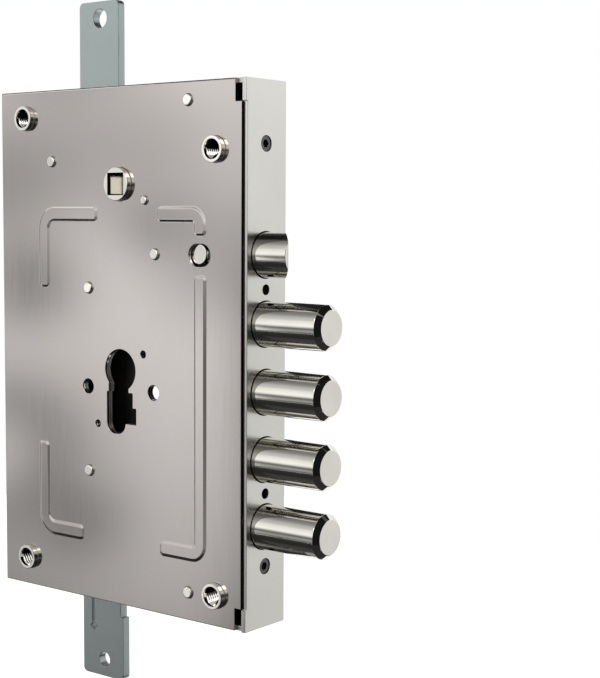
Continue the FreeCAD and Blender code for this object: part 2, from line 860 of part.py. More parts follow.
def hub_spring():
    start = hub_body_half + hub_spring_wire / 2 + face_clearance
    length = inner_back - face_clearance - hub_spring_wire / 2 - start
    place = FreeCAD.Vector(axis_x, start, 0)
    return coil(hub_spring_radius, hub_spring_wire / 2, hub_spring_turns, length, place, UP_Y)


def build():
    save("case_tray", [case_tray()])
    save("case_cover", [case_cover()])
    save("forend_plate", [forend_plate()])
    save("forend_screws", [forend_screw(z) for z in (upper_screw_z, lower_screw_z)])
    save("forend_blocks", [forend_block(z) for z in (upper_screw_z, lower_screw_z)])
    save("bolt_guide", [bolt_guide()])
    save("cylinder_armour_plate", [armour_plate()])
    for node, place in bush_places().items():
        save(node, [bush(*place)])
    for node, values in through_posts().items():
        save(node, [through_post(*values)])
    for node, place in zip(("upper_carriage_stud", "lower_carriage_stud"), stud_places()):
        save(node, [carriage_stud(*place)])
    save("lever_post", [lever_post()])
    save("upper_rod_rest", [rod_rest(upper_rest_bottom)])
    save("lower_rod_rest", [rod_rest(lower_rest_bottom)])
    save("latch_spring_bracket", [latch_spring_bracket()])
    save("lever_spring_bracket", [lever_spring_bracket()])
    for i, z in enumerate(bolt_heights):
        save("deadbolt_" + str(i + 1), [deadbolt(z)])
    save("bolt_pins", [bolt_pin(z) for z in bolt_heights])
    save("bolt_carriage", [bolt_carriage()])
    save("rod_drive_pins", [drive_pin(drop) for drop in (upper_drive_pin_drop, lower_drive_pin_drop)])
    save("stump_pin", [stump_pin()])
    save("upper_rod", [upper_rod()])
    save("lower_rod", [lower_rod()])
    save("latch_bolt", [latch_bolt()])
    save("latch_bar", [latch_bar()])
    save("latch_screw", [latch_screw()])
    save("handle_follower", [handle_follower()])
    save("locking_lever", [locking_lever()])
    save("latch_spring", [latch_spring()])
    save("lever_spring", [lever_spring()])
    save("hub_spring", [hub_spring()])


build()
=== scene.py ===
import bmesh
import bpy
import math
from mathutils import Matrix, Vector


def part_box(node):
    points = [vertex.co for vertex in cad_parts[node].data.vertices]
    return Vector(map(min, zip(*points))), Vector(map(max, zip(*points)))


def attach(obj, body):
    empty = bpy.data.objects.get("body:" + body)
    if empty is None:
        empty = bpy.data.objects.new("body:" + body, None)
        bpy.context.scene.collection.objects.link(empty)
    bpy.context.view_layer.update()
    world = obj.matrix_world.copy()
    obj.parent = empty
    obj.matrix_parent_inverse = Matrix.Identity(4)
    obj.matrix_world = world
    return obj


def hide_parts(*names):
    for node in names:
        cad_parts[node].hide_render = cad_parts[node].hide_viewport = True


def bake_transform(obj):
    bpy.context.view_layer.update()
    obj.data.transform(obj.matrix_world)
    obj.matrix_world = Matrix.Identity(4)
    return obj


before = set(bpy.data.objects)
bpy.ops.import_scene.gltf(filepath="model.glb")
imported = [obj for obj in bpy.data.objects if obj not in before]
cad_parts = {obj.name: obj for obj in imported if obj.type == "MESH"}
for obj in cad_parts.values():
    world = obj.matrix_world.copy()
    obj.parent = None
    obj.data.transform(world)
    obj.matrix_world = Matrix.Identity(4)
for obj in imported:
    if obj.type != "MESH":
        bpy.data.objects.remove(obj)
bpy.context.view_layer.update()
bpy.ops.object.select_all(action="DESELECT")
mm = 0.001
# what counts as the same edge or point, in metres, and how squarely a face has to look along an axis
sameEdge, samePoint, squareOn = 1e-5, 1e-6, 0.99


def linear(hexColour):
    # sRGB hex to linear
    values = [int(hexColour[i:i + 2], 16) / 255 for i in (1, 3, 5)]
    return tuple(v / 12.92 if v <= 0.04045 else ((v + 0.055) / 1.055) ** 2.4 for v in values) + (1.0,)


def setStops(bar, stops):
    # a stop is a place from 0 to 1 with a hex colour or a grey tone
    while len(bar) < len(stops):
        bar.new(0.5)
    for element, (place, colour) in zip(bar, stops):
        element.position = place
        element.color = linear(colour) if isinstance(colour, str) else (colour, colour, colour, 1.0)


def addNode(tree, kind, settings=None, links=None):
    # a setting is the stops of a ramp, a socket's value by name or number, or else an option of the node
    node = tree.nodes.new(kind)
    for name, value in (settings or {}).items():
        if name == "stops":
            setStops(node.color_ramp.elements, value)
        elif isinstance(name, int) or name in node.inputs:
            node.inputs[name].default_value = value
        else:
            setattr(node, name, value)
    for name, socket in (links or {}).items():
        tree.links.new(socket, node.inputs[name])
    return node


def placeData(name, data):
    piece = bpy.data.objects.new(name, data)
    bpy.context.collection.objects.link(piece)
    return piece


def dress(piece, material):
    piece.data.materials.clear()
    piece.data.materials.append(material)


def selectOnly(piece):
    bpy.ops.object.select_all(action="DESELECT")
    piece.select_set(True)
    bpy.context.view_layer.objects.active = piece


def pick(piece, kind, test):
    # selects the faces or edges that pass the test, in edit mode
    bpy.ops.mesh.select_mode(type={"edges": "EDGE", "faces": "FACE"}[kind])
    bpy.ops.mesh.select_all(action="DESELECT")
    mesh = bmesh.from_edit_mesh(piece.data)
    for item in getattr(mesh, kind):
        if test(item):
            item.select_set(True)
    mesh.select_flush_mode()
    bmesh.update_edit_mesh(piece.data)


def middle(item):
    return sum((v.co for v in item.verts), Vector()) / len(item.verts)


def startEdit(piece):
    selectOnly(piece)
    bpy.ops.object.mode_set(mode="EDIT")


def stopEdit():
    bpy.ops.object.mode_set(mode="OBJECT")


def addCylinder(name, radius, start, end, segments):
    start, end = Vector(start) * mm, Vector(end) * mm
    run = end - start
    turn = run.to_track_quat("Z", "Y").to_euler()
    bpy.ops.mesh.primitive_cylinder_add(
        vertices=segments, radius=radius * mm, depth=run.length, location=(start + end) / 2, rotation=turn)
    piece = bpy.context.active_object
    piece.name = name
    bpy.ops.object.transform_apply(location=True, rotation=True, scale=True)
    return piece


def addBlock(name, low, high):
    low, high = Vector(low) * mm, Vector(high) * mm
    bpy.ops.mesh.primitive_cube_add(size=1, location=(low + high) / 2, scale=high - low)
    piece = bpy.context.active_object
    piece.name = name
    bpy.ops.object.transform_apply(location=True, rotation=True, scale=True)
    return piece


# how far a cutter reaches past what it cuts, in mm
overshoot = 1


def cutAway(piece, cutter):
    selectOnly(piece)
    change = piece.modifiers.new("cut", "BOOLEAN")
    change.operation = "DIFFERENCE"
    change.solver = "EXACT"
    change.object = cutter
    bpy.ops.object.modifier_apply(modifier="cut")
    bpy.data.objects.remove(cutter)


def roundEdges(piece, width, segments, limit=35):
    selectOnly(piece)
    change = piece.modifiers.new("round", "BEVEL")
    change.width = width * mm
    change.segments = segments
    change.limit_method = "ANGLE"
    change.angle_limit = math.radians(limit)
    change.use_clamp_overlap = False
    change.miter_outer = "MITER_ARC"
    bpy.ops.object.modifier_apply(modifier="round")


# angles in degrees, and the merge distance in mm
finishing = {"smooth": 35, "evenWeight": 80, "merge": 0.003, "flat": 0.3}


def finishPiece(piece, body, material, node):
    # large flat faces keep their shading, and the rounded edges blend between them
    selectOnly(piece)
    bpy.ops.object.shade_smooth_by_angle(angle=math.radians(finishing["smooth"]))
    even = piece.modifiers.new("even", "WEIGHTED_NORMAL")
    even.keep_sharp = True
    even.weight = finishing["evenWeight"]
    bpy.ops.object.modifier_apply(modifier="even")
    dress(piece, material)
    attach(piece, body)
    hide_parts(node)


def softenedCopy(name, node):
    # loose triangles of the frame become whole faces again
    piece = placeData(name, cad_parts[node].data.copy())
    selectOnly(piece)
    if piece.data.has_custom_normals:
        bpy.ops.mesh.customdata_custom_splitnormals_clear()
    startEdit(piece)
    bpy.ops.mesh.select_all(action="SELECT")
    bpy.ops.mesh.remove_doubles(threshold=finishing["merge"] * mm)
    bpy.ops.mesh.dissolve_limited(angle_limit=math.radians(finishing["flat"]))
    stopEdit()
    return piece


def startMetal(name, colour, roughness):
    material = bpy.data.materials.new(name)
    material.use_nodes = True
    tree = material.node_tree
    shader = tree.nodes["Principled BSDF"]
    shader.inputs["Base Color"].default_value = linear(colour)
    shader.inputs["Metallic"].default_value = 1.0
    shader.inputs["Roughness"].default_value = roughness
    place = addNode(tree, "ShaderNodeTexCoord").outputs["Object"]
    return material, tree, shader, place


# counts to the metre: clouds of 70 mm, a slow wave of 60 mm from the rolling, and a grain of 1 mm that is
# drawn out by each metal's own stretch. Real grain is about 0.1 mm, and it is this coarse so that it shows
sheetPattern = {
    "clouds": 14.0, "cloudSpan": (0.3, 0.7), "waves": 16.0,
    "grains": 1000.0, "grainStrength": 0.12, "grainDepth": 0.00002,
}


def satinSheet(name, colours, roughness, stretch, waveDepth):
    sizes = sheetPattern
    material, tree, shader, place = startMetal(name, colours[0], roughness[0])
    cloud = addNode(tree, "ShaderNodeTexNoise", {"Scale": sizes["clouds"], "Detail": 3.0, "Roughness": 0.5},
                    {"Vector": place})
    tones = addNode(tree, "ShaderNodeValToRGB", {"stops": list(zip(sizes["cloudSpan"], colours))},
                    {"Fac": cloud.outputs["Fac"]})
    tree.links.new(tones.outputs["Color"], shader.inputs["Base Color"])
    drawn = addNode(tree, "ShaderNodeMapping", {"Scale": stretch}, {"Vector": place})
    grain = addNode(tree, "ShaderNodeTexNoise", {"Scale": sizes["grains"], "Detail": 4.0, "Roughness": 0.6},
                    {"Vector": drawn.outputs["Vector"]})
    rough = addNode(tree, "ShaderNodeMapRange", {"To Min": roughness[0], "To Max": roughness[1]},
                    {"Value": grain.outputs["Fac"]})
    tree.links.new(rough.outputs["Result"], shader.inputs["Roughness"])
    fine = addNode(tree, "ShaderNodeBump",
                   {"Strength": sizes["grainStrength"], "Distance": sizes["grainDepth"]},
                   {"Height": grain.outputs["Fac"]})
    wave = addNode(tree, "ShaderNodeTexNoise", {"Scale": sizes["waves"], "Detail": 1.0}, {"Vector": place})
    broad = addNode(tree, "ShaderNodeBump", {"Strength": 1.0, "Distance": waveDepth},
                    {"Height": wave.outputs["Fac"], "Normal": fine.outputs["Normal"]})
    tree.links.new(broad.outputs["Normal"], shader.inputs["Normal"])
    return material


# name, two tones, lowest and highest roughness, stretch of the grain along each axis, and depth of the wave
# in metres. The cover is rolled and satin finished: it mirrors the room softly, with a faint upright grain
coverSteel = satinSheet(
    "satinRolledCoverSteel", ("#bcb7b3", "#c0bbb8"), (0.10, 0.14), (1.0, 1.0, 0.05), 0.00006)
# the same sheet with a duller surface, folded into the case
caseSteel = satinSheet(
    "satinRolledCaseSteel", ("#cfccc7", "#d6d4d0"), (0.28, 0.36), (1.0, 1.0, 0.05), 0.00004)
# brushed along its length: pale and even, with fine upright strokes
forendSteel = satinSheet(
    "brushedForendSteel", ("#d2d1cb", "#dad9d4"), (0.20, 0.28), (1.0, 1.0, 0.03), 0.00001)
# blue zinc on drawn flat bar: cooler and greyer than the bare steel
rodZinc = satinSheet("zincPlatedRodSteel", ("#a7b2b1", "#b2bbba"), (0.30, 0.42), (1.0, 1.0, 0.2), 0.00002)
# stamped inner parts under a film of oil: darker, with level strokes
innerSteel = satinSheet("oiledInnerSteel", ("#8f8d88", "#a09e99"), (0.30, 0.45), (0.3, 1.0, 1.0), 0.00001)

# clouds of 17 mm, to the metre
platePattern = {"clouds": 60.0, "cloudSpan": (0.35, 0.65), "ringStrength": 0.1, "ringDepth": 0.00001}


def platedMetal(name, colours, roughness, ringCount, stretch):
    sizes = platePattern
    material, tree, shader, place = startMetal(name, colours[0], roughness[0])
    cloud = addNode(tree, "ShaderNodeTexNoise", {"Scale": sizes["clouds"], "Detail": 2.0}, {"Vector": place})
    tones = addNode(tree, "ShaderNodeValToRGB", {"stops": list(zip(sizes["cloudSpan"], colours))},
                    {"Fac": cloud.outputs["Fac"]})
    tree.links.new(tones.outputs["Color"], shader.inputs["Base Color"])
    drawn = addNode(tree, "ShaderNodeMapping", {"Scale": stretch}, {"Vector": place})
    rings = addNode(tree, "ShaderNodeTexNoise", {"Scale": ringCount, "Detail": 3.0, "Roughness": 0.6},
                    {"Vector": drawn.outputs["Vector"]})
    rough = addNode(tree, "ShaderNodeMapRange", {"To Min": roughness[0], "To Max": roughness[1]},
                    {"Value": rings.outputs["Fac"]})
    tree.links.new(rough.outputs["Result"], shader.inputs["Roughness"])
    fine = addNode(tree, "ShaderNodeBump",
                   {"Strength": sizes["ringStrength"], "Distance": sizes["ringDepth"]},
                   {"Height": rings.outputs["Fac"]})
    tree.links.new(fine.outputs["Normal"], shader.inputs["Normal"])
    return material


# name, two tones, lowest and highest roughness, and the marks to the metre with their stretch along each
# axis. Real marks are 0.1 mm or finer, and they are all coarser here so that they show
plain = (1.0, 1.0, 1.0)  # no stretch
# nickel on turned bar: a clear mirror with lathe rings 0.4 mm apart round the X axis
boltNickel = platedMetal(
    "polishedBoltNickel", ("#dbd8d0", "#e2dfd8"), (0.04, 0.09), 2500.0, (1.0, 0.02, 0.02))
# nickel on small turned parts: brighter, with a fine mottle of 0.7 mm. Bushes and hub have their own copies,
# because painted shade goes on them
fittingNickel = platedMetal("polishedFittingNickel", ("#f0ede6", "#f6f3ed"), (0.06, 0.12), 1500.0, plain)
bushNickel = platedMetal("polishedBushNickel", ("#f0ede6", "#f6f3ed"), (0.06, 0.12), 1500.0, plain)
hubNickel = platedMetal("polishedHubNickel", ("#ece9e1", "#f3f0e9"), (0.06, 0.12), 1500.0, plain)
# drawn spring wire: dark and dull, with marks of 0.5 mm
springWire = platedMetal("drawnSpringSteel", ("#6f6d6a", "#7d7b77"), (0.25, 0.4), 2000.0, plain)
# chemically blackened screws: dark grey with a soft sheen and a mottle of 1 mm
screwBlack = platedMetal("blackenedScrewSteel", ("#5c5c5a", "#6a6a68"), (0.25, 0.4), 900.0, plain)


def tintWhere(material, mask, colour):
    # lays one colour over the metal where the mask is 1
    tree = material.node_tree
    base = tree.nodes["Principled BSDF"].inputs["Base Color"]
    both = addNode(tree, "ShaderNodeMix", {"data_type": "RGBA", 7: linear(colour)},
                   {0: mask, 6: base.links[0].from_socket})
    tree.links.new(both.outputs[2], base)


# painted shade, standing in for shadow inside the hole, darkens the mouth and the top and bottom corners of
# the spindle square
shadedSpindleSquare = {"axis": -68.3, "half": 4.64, "mouth": -12.7, "top": 3.5, "bottom": -4.0, "colour": "#0d0c0b"}


def paintHubShade(material, sizes):
    # paints shade into the spindle square
    tree = material.node_tree
    place = addNode(tree, "ShaderNodeTexCoord").outputs["Object"]
    parts = addNode(tree, "ShaderNodeSeparateXYZ", links={"Vector": place})
    half = sizes["half"] * mm
    across = addNode(tree, "ShaderNodeMath", {"operation": "COMPARE", 1: sizes["axis"] * mm, 2: half},
                     {0: parts.outputs["X"]})
    up = addNode(tree, "ShaderNodeMath", {"operation": "COMPARE", 1: 0.0, 2: half}, {0: parts.outputs["Z"]})
    inside = addNode(tree, "ShaderNodeMath", {"operation": "MULTIPLY"},
                     {0: across.outputs["Value"], 1: up.outputs["Value"]})
    marks = []
    tests = (("Y", "LESS_THAN", "mouth"), ("Z", "GREATER_THAN", "top"), ("Z", "LESS_THAN", "bottom"))
    for axis, kind, edge in tests:
        mark = addNode(tree, "ShaderNodeMath", {"operation": kind, 1: sizes[edge] * mm},
                       {0: parts.outputs[axis]})
        marks.append(mark.outputs["Value"])
    ends = addNode(tree, "ShaderNodeMath", {"operation": "MAXIMUM"}, {0: marks[1], 1: marks[2]})
    every = addNode(tree, "ShaderNodeMath", {"operation": "MAXIMUM"}, {0: marks[0], 1: ends.outputs["Value"]})
    squareShade = addNode(tree, "ShaderNodeMath", {"operation": "MULTIPLY"},
                      {0: inside.outputs["Value"], 1: every.outputs["Value"]})
    tintWhere(material, squareShade.outputs["Value"], sizes["colour"])


paintHubShade(hubNickel, shadedSpindleSquare)

# painted shade darkens the side of the forend between the two notches of the cover, in the gap beside the
# cover's edge
shadedForendSide = {"face": -11.35, "edge": -1.1, "top": 31.0, "bottom": -168.0, "colour": "#3b3934"}


def paintSideShade(material, sizes):
    # paints shade on the forend's side
    tree = material.node_tree
    place = addNode(tree, "ShaderNodeTexCoord").outputs["Object"]
    parts = addNode(tree, "ShaderNodeSeparateXYZ", links={"Vector": place})
    middleHeight = (sizes["top"] + sizes["bottom"]) / 2 * mm
    halfHeight = (sizes["top"] - sizes["bottom"]) / 2 * mm
    side = addNode(tree, "ShaderNodeMath", {"operation": "LESS_THAN", 1: sizes["face"] * mm},
                   {0: parts.outputs["Y"]})
    between = addNode(tree, "ShaderNodeMath", {"operation": "COMPARE", 1: middleHeight, 2: halfHeight},
                      {0: parts.outputs["Z"]})
    inner = addNode(tree, "ShaderNodeMath", {"operation": "LESS_THAN", 1: sizes["edge"] * mm},
                    {0: parts.outputs["X"]})
    strip = addNode(tree, "ShaderNodeMath", {"operation": "MULTIPLY"},
                    {0: side.outputs["Value"], 1: inner.outputs["Value"]})
    sideShade = addNode(tree, "ShaderNodeMath", {"operation": "MULTIPLY"},
                  {0: strip.outputs["Value"], 1: between.outputs["Value"]})
    tintWhere(material, sideShade.outputs["Value"], sizes["colour"])


paintSideShade(forendSteel, shadedForendSide)

# the axes of the four bushes, as X and Z
bushPlaces = {"bush_top_left": (-124.8, 28.7), "bush_top_right": (-15.7, 13.1),
              "bush_bottom_left": (-124.8, -164.6), "bush_bottom_right": (-15.7, -164.6)}
# painted shade darkens the upper half of the threads, from just inside the mouth
shadedThreads = {"mouth": -14.3, "lift": 1.2, "radius": 3.97, "colour": "#0f0e0d"}


def paintThreadShade(material, sizes):
    # the painted shade lies within a circle a little above the axis of the nearest bush
    tree = material.node_tree
    place = addNode(tree, "ShaderNodeTexCoord").outputs["Object"]
    flat = addNode(tree, "ShaderNodeVectorMath", {"operation": "MULTIPLY", 1: (1, 0, 1)}, {0: place})
    nearest = None
    for x, z in bushPlaces.values():
        axis = (x * mm, 0, (z + sizes["lift"]) * mm)
        gap = addNode(tree, "ShaderNodeVectorMath", {"operation": "DISTANCE", 1: axis},
                      {0: flat.outputs["Vector"]}).outputs["Value"]
        if nearest:
            least = addNode(tree, "ShaderNodeMath", {"operation": "MINIMUM"}, {0: nearest, 1: gap})
            gap = least.outputs["Value"]
        nearest = gap
    inside = addNode(tree, "ShaderNodeMath", {"operation": "LESS_THAN", 1: sizes["radius"] * mm},
                     {0: nearest})
    parts = addNode(tree, "ShaderNodeSeparateXYZ", links={"Vector": place})
    deep = addNode(tree, "ShaderNodeMath", {"operation": "GREATER_THAN", 1: sizes["mouth"] * mm},
                   {0: parts.outputs["Y"]})
    threadShade = addNode(tree, "ShaderNodeMath", {"operation": "MULTIPLY"},
                    {0: inside.outputs["Value"], 1: deep.outputs["Value"]})
    tintWhere(material, threadShade.outputs["Value"], sizes["colour"])


paintThreadShade(bushNickel, shadedThreads)
print("materials made")

# where the cover's front face and outer edges lie, and how it is pressed
coverEdges = {"front": -12.3, "left": -141.1, "top": 40.3, "bottom": -177.2, "radius": 0.8, "segments": 6}
coverBands = {"face": -12.7, "height": 0.4, "ramp": 0.9, "merge": 0.002}


def slopeBands(cover, bands):
    # the wall round each band becomes a ramp as wide as a pressed one
    top = bands["face"] * mm
    startEdit(cover)
    pick(cover, "faces", lambda f: f.normal.y < -squareOn and abs(middle(f).y - top) < sameEdge)
    bpy.ops.mesh.inset(thickness=bands["ramp"] * mm, depth=0, use_boundary=True, use_even_offset=True)
    bpy.ops.mesh.select_all(action="INVERT")
    mesh = bmesh.from_edit_mesh(cover.data)
    for vert in mesh.verts:
        inner = all(f.normal.y < -squareOn for f in vert.link_faces)
        if abs(vert.co.y - top) < samePoint and not inner:
            vert.co.y += bands["height"] * mm
    bmesh.update_edit_mesh(cover.data)
    bpy.ops.mesh.select_all(action="SELECT")
    bpy.ops.mesh.remove_doubles(threshold=bands["merge"] * mm)
    stopEdit()


def rollEdges(cover, edges):
    # the outer edges at the top, left and bottom are rounder than the cut ones
    front = edges["front"] * mm
    lines = [(0, edges["left"] * mm), (2, edges["top"] * mm), (2, edges["bottom"] * mm)]
    startEdit(cover)
    pick(cover, "edges", lambda e: all(abs(v.co.y - front) < sameEdge for v in e.verts) and any(
        all(abs(v.co[axis] - place) < sameEdge for v in e.verts) for axis, place in lines))
    bpy.ops.mesh.bevel(offset=edges["radius"] * mm, segments=edges["segments"], affect="EDGES")
    stopEdit()


# node, width and segments of its rounded edges, least angle that is rounded, slot, metal and body
softPieces = {
    "coverPlate": ("case_cover", 0.3, 3, 20, "cover_steel", coverSteel, "case"),
    "foldedCase": ("case_tray", 0.25, 2, 35, "case_steel", caseSteel, "case"),
    "forendFace": ("forend_plate", 0.2, 2, 35, "forend_steel", forendSteel, "case"),
    "armourPlate": ("cylinder_armour_plate", 0.12, 2, 35, "inner_steel", innerSteel, "case"),
    "upperRodBar": ("upper_rod", 0.25, 2, 35, "rod_zinc", rodZinc, "upper_rod"),
    "lowerRodBar": ("lower_rod", 0.25, 2, 35, "rod_zinc", rodZinc, "lower_rod"),
    "handleHub": ("handle_follower", 0.06, 2, 35, "fitting_nickel", hubNickel, "follower"),
    "boltCarriage": ("bolt_carriage", 0.12, 2, 35, "inner_steel", innerSteel, "carriage"),
    "forendScrewPair": ("forend_screws", 0.1, 2, 35, "screw_black", screwBlack, "case"),
}
for name, (node, width, segments, limit, slotName, metal, body) in softPieces.items():
    piece = softenedCopy(name, node)
    if name == "coverPlate":
        slopeBands(piece, coverBands)
        rollEdges(piece, coverEdges)
    roundEdges(piece, width, segments, limit)
    finishPiece(piece, body, metal, node)
    print(name, "softened")


def cutTail(piece, sizes, z):
    # the slot for the carriage's or the bar's tongue, and the hole across it for the pin or screw
    reach = sizes["radius"] + overshoot
    x, half = sizes["holeX"], sizes["slotHalf"]
    slotLow = (sizes["rear"] - overshoot, -half, z - reach)
    slotHigh = (sizes["slotEnd"], half, z + reach)
    cutAway(piece, addBlock("slotCutter", slotLow, slotHigh))
    ends = (x, -reach, z), (x, reach, z)
    cutAway(piece, addCylinder("holeCutter", sizes["holeRadius"], *ends, sizes["holeSegments"]))


deadboltSizes = {
    "radius": 9.0, "rear": -27.5, "tip": 32.4, "chamfer": 2.1, "edge": 0.22, "edgeSegments": 3,
    "first": -55.4, "pitch": 27.0, "count": 4, "segments": 128,
    "slotHalf": 1.65, "slotEnd": -15.65, "holeX": -21.5, "holeRadius": 2.55, "holeSegments": 48,
}


def makeDeadbolt(sizes):
    z = sizes["first"]
    rear, end = (sizes["rear"], 0, z), (sizes["tip"], 0, z)
    bolt = addCylinder("deadboltModel", sizes["radius"], rear, end, sizes["segments"])
    tip = sizes["tip"] * mm
    shoulder = tip - sizes["chamfer"] * mm
    startEdit(bolt)
    pick(bolt, "edges", lambda e: all(abs(v.co.x - tip) < samePoint for v in e.verts))
    bpy.ops.mesh.bevel(offset=sizes["chamfer"] * mm, segments=1, affect="EDGES")
    pick(bolt, "edges", lambda e: any(
        all(abs(v.co.x - ring) < samePoint for v in e.verts) for ring in (tip, shoulder)))
    bpy.ops.mesh.bevel(offset=sizes["edge"] * mm, segments=sizes["edgeSegments"], affect="EDGES")
    stopEdit()
    cutTail(bolt, sizes, z)
    return bolt


boltModel = makeDeadbolt(deadboltSizes)
for i in range(deadboltSizes["count"]):
    bolt = placeData("deadboltShaft" + str(i + 1), boltModel.data.copy())
    bolt.data.transform(Matrix.Translation((0, 0, -i * deadboltSizes["pitch"] * mm)))
    finishPiece(bolt, "carriage", boltNickel, "deadbolt_" + str(i + 1))
bpy.data.objects.remove(boltModel)
print("deadbolts turned")

latchSizes = {
    "radius": 9.0, "z": -28.1, "rear": -30.2, "tip": 16.6, "bevelRun": 7.0, "edge": 0.25, "edgeSegments": 3,
    "segments": 128,
    "slotHalf": 1.65, "slotEnd": -17.35, "holeX": -26.0, "holeRadius": 3.65, "holeSegments": 48,
}


def makeLatch(sizes):
    z = sizes["z"]
    rear, end = (sizes["rear"], 0, z), (sizes["tip"], 0, z)
    latch = addCylinder("latchHead", sizes["radius"], rear, end, sizes["segments"])
    startEdit(latch)
    bpy.ops.mesh.select_all(action="SELECT")
    bevelMiddle = (sizes["tip"] - sizes["bevelRun"]) * mm
    bpy.ops.mesh.bisect(plane_co=(bevelMiddle, 0, z * mm), plane_no=(sizes["radius"], sizes["bevelRun"], 0),
                        clear_outer=True, use_fill=True)
    stopEdit()
    cutTail(latch, sizes, z)
    roundEdges(latch, sizes["edge"], sizes["edgeSegments"])
    return latch


finishPiece(makeLatch(latchSizes), "latch", boltNickel, "latch_bolt")
print("latch bolt bevelled")

# the screw has a thin wide head, which shows through the window of the cover
latchScrewSizes = {"head": 4.05, "thickness": 1.2, "edge": 0.25, "edgeSegments": 2, "segments": 96}


def makeLatchScrew(sizes):
    low, high = (Vector(corner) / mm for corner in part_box("latch_screw"))
    x, z = (low.x + high.x) / 2, (low.z + high.z) / 2
    under = low.y + sizes["thickness"]
    shank = (high.x - low.x) / 2
    screw = addCylinder("latchScrewModel", sizes["head"], (x, low.y, z), (x, under, z), sizes["segments"])
    startEdit(screw)
    pick(screw, "faces", lambda f: f.normal.y > squareOn)
    bpy.ops.mesh.inset(thickness=(sizes["head"] - shank) * mm)
    bpy.ops.mesh.extrude_region_move(TRANSFORM_OT_translate={"value": (0, (high.y - under) * mm, 0)})
    stopEdit()
    roundEdges(screw, sizes["edge"], sizes["edgeSegments"])
    return screw


finishPiece(makeLatchScrew(latchScrewSizes), "latch", fittingNickel, "latch_screw")
print("latch screw headed")

# the thread has a radius in the groove and at the crest, a start behind the front, a length left free at both
# ends together, roots that sink into the wall, and flanks that turn at these parts of the pitch
bushSizes = {
    "radius": 5.2, "front": -14.7, "back": 12.3, "segments": 96, "chamfer": 0.25, "chamferSegments": 2,
    "chamferLimit": 60, "groove": 3.95, "crest": 3.42, "pitch": 1.25, "start": 1.0, "free": 2.4, "sink": 0.15,
    "flanks": (0.42, 0.55, 0.97), "steps": 40, "merge": 0.001,
}


def makeThread(sizes):
    # one groove-to-crest-to-groove outline, turned up the bore by a screw
    pitch = sizes["pitch"] * mm
    outer = (sizes["groove"] + sizes["sink"]) * mm
    crest = sizes["crest"] * mm
    rise, top, fall = (part * pitch for part in sizes["flanks"])
    outline = bpy.data.meshes.new("threadOutline")
    outline.from_pydata([(outer, 0, 0), (crest, 0, rise), (crest, 0, top), (outer, 0, fall)],
                        [(0, 1), (1, 2), (2, 3)], [])
    thread = placeData("threadModel", outline)
    selectOnly(thread)
    turned = thread.modifiers.new("turned", "SCREW")
    turned.axis = "Z"
    turned.steps = turned.render_steps = sizes["steps"]
    turned.iterations = int((sizes["back"] - sizes["front"] - sizes["free"]) / sizes["pitch"])
    turned.screw_offset = pitch
    bpy.ops.object.modifier_apply(modifier="turned")
    thread.data.transform(Matrix.Rotation(math.radians(-90), 4, "X"))
    thread.data.transform(Matrix.Translation((0, (sizes["front"] + sizes["start"]) * mm, 0)))
    startEdit(thread)
    bpy.ops.mesh.select_all(action="SELECT")
    bpy.ops.mesh.remove_doubles(threshold=sizes["merge"] * mm)
    bpy.ops.mesh.normals_make_consistent(inside=False)
    stopEdit()
    return thread


def makeBush(sizes):
    front, back, segments = sizes["front"], sizes["back"], sizes["segments"]
    bush = addCylinder("bushModel", sizes["radius"], (0, front, 0), (0, back, 0), segments)
    bore = addCylinder(
        "boreCutter", sizes["groove"], (0, front - overshoot, 0), (0, back + overshoot, 0), segments)
    cutAway(bush, bore)
    roundEdges(bush, sizes["chamfer"], sizes["chamferSegments"], sizes["chamferLimit"])
    thread = makeThread(sizes)
    selectOnly(bush)
    thread.select_set(True)
    bpy.ops.object.join()
    return bush


bushModel = makeBush(bushSizes)
for node, (x, z) in bushPlaces.items():
    bush = placeData(node.replace("bush_", "threadedBush_"), bushModel.data.copy())
    bush.data.transform(Matrix.Translation((x * mm, 0, z * mm)))
    finishPiece(bush, "case", bushNickel, node)
bpy.data.objects.remove(bushModel)
print("bushes threaded")

# the coil is pressed together from its fixed end as the latch goes in; here only the smoothing angle is used,
# and the coil keeps the shape it has in the frame
latchCoil = {"fixed": (-106.7, -1.0, -28.1), "pressed": (-80.3, -1.0, -28.1), "smooth": 60}
coil = softenedCopy("latchCoil", "latch_spring")
bpy.ops.object.shade_smooth_by_angle(angle=math.radians(latchCoil["smooth"]))
dress(coil, springWire)
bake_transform(coil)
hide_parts("latch_spring")
print("latch spring coiled")

# the other nodes keep their own shape: these are inner steel or wire, and what is left is nickelled
innerNodes = ("forend_blocks", "bolt_guide", "bolt_pins", "rod_drive_pins", "stump_pin", "latch_bar",
              "locking_lever", "upper_rod_rest", "lower_rod_rest", "latch_spring_bracket",
              "lever_spring_bracket")
wireNodes = ("lever_spring", "hub_spring")
for node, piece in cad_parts.items():
    if not piece.hide_render:
        rest = springWire if node in wireNodes else fittingNickel
        dress(piece, innerSteel if node in innerNodes else rest)
print("node materials assigned")

# from here on lengths are in metres, only lens and sensor in mm, and turns in degrees. The eye is where the
# photo was taken from
studio = {
    "floorHeight": -1.6, "floorSize": 12.0, "floorColour": "#f4f4f2", "floorRoughness": 0.9, "floorGlow": 0.3,
    "eye": (0.36295, -0.44638, -0.01310), "azimuth": 37.767, "elevation": 4.778, "roll": 0.327, "lens": 77.6,
    "sensor": 36, "clip": (0.01, 50),
}


